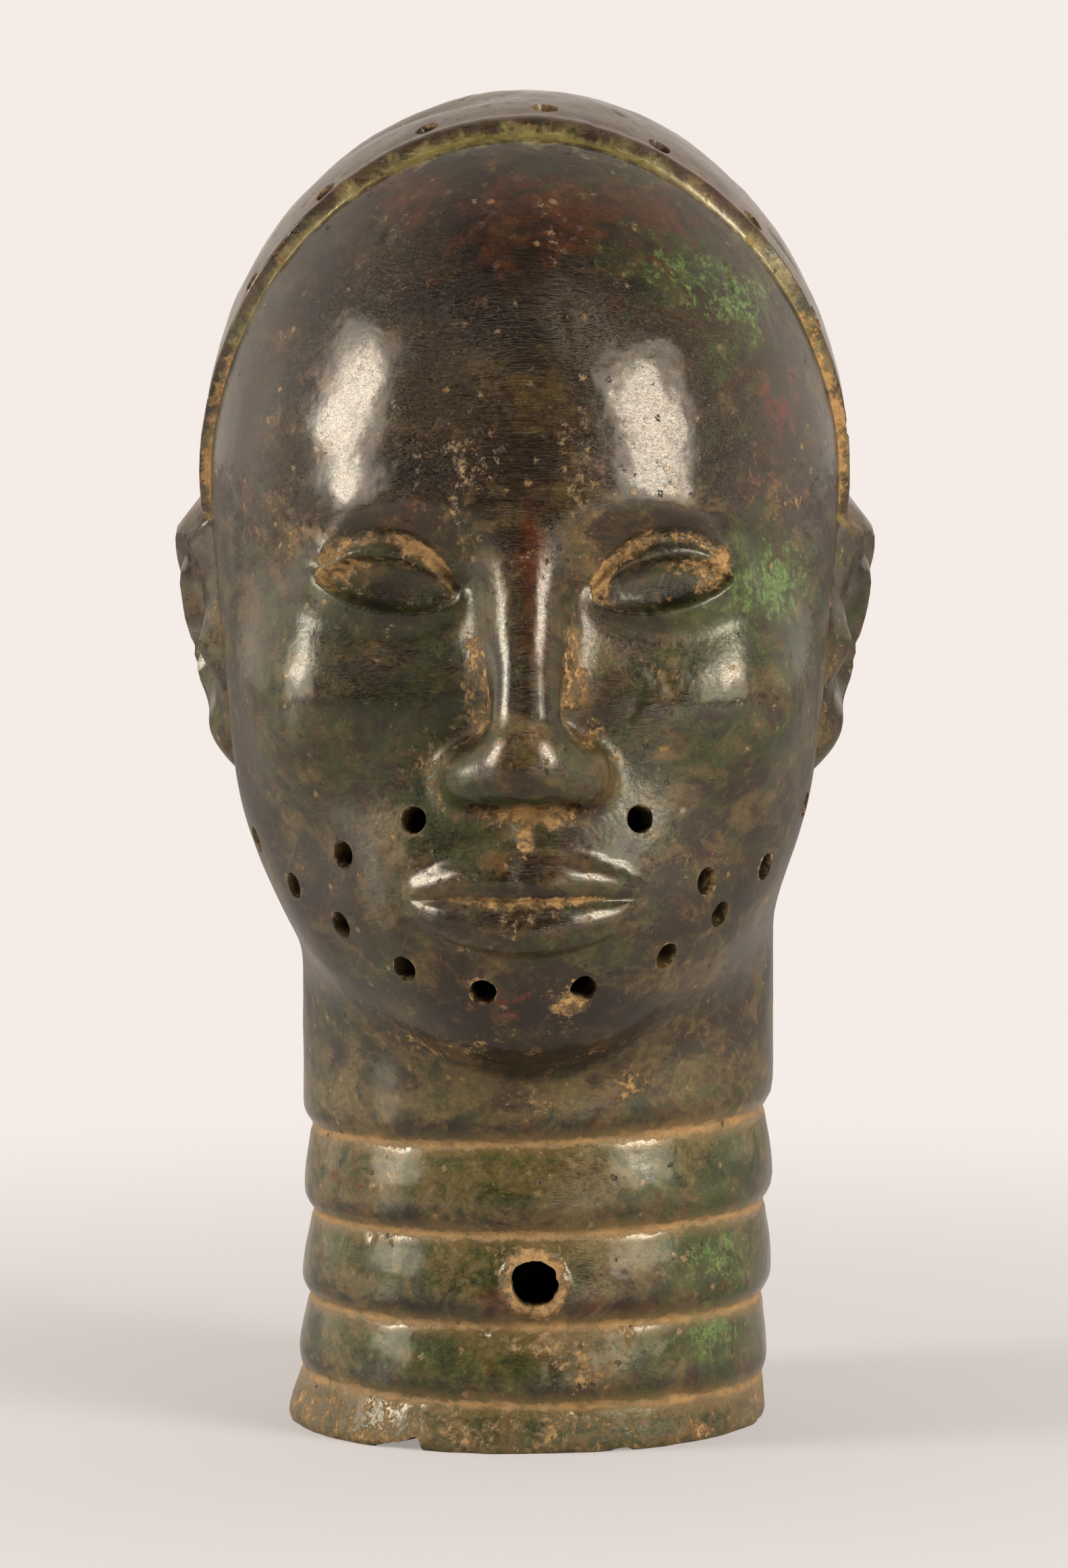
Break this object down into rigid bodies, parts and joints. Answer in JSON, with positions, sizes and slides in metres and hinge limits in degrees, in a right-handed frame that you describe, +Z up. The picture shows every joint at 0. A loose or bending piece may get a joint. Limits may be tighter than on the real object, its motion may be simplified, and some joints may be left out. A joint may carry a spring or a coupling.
{
  "type": "benin bronze head",
  "caption": "Life-size hollow cast bronze head with a plain cap, holes for hair and beard, ears in relief and a tall ringed neck open below.",
  "frame": {"origin": "centre of the object's bounding box in plan, on the surface that the neck's rim stands on", "axes": "+Z up from the rim of the neck to the crown, the face looks along -Y, +X to the right of someone facing it"},
  "size_m": [0.1788, 0.21, 0.332],
  "materials": {
    "bronze": "dark brown and olive patina, waxed to a soft gloss, with green verdigris and ochre earth in the hollows"
  },
  "bodies": {
    "root": {"head_casting": "bronze"}
  },
  "joints": []
}
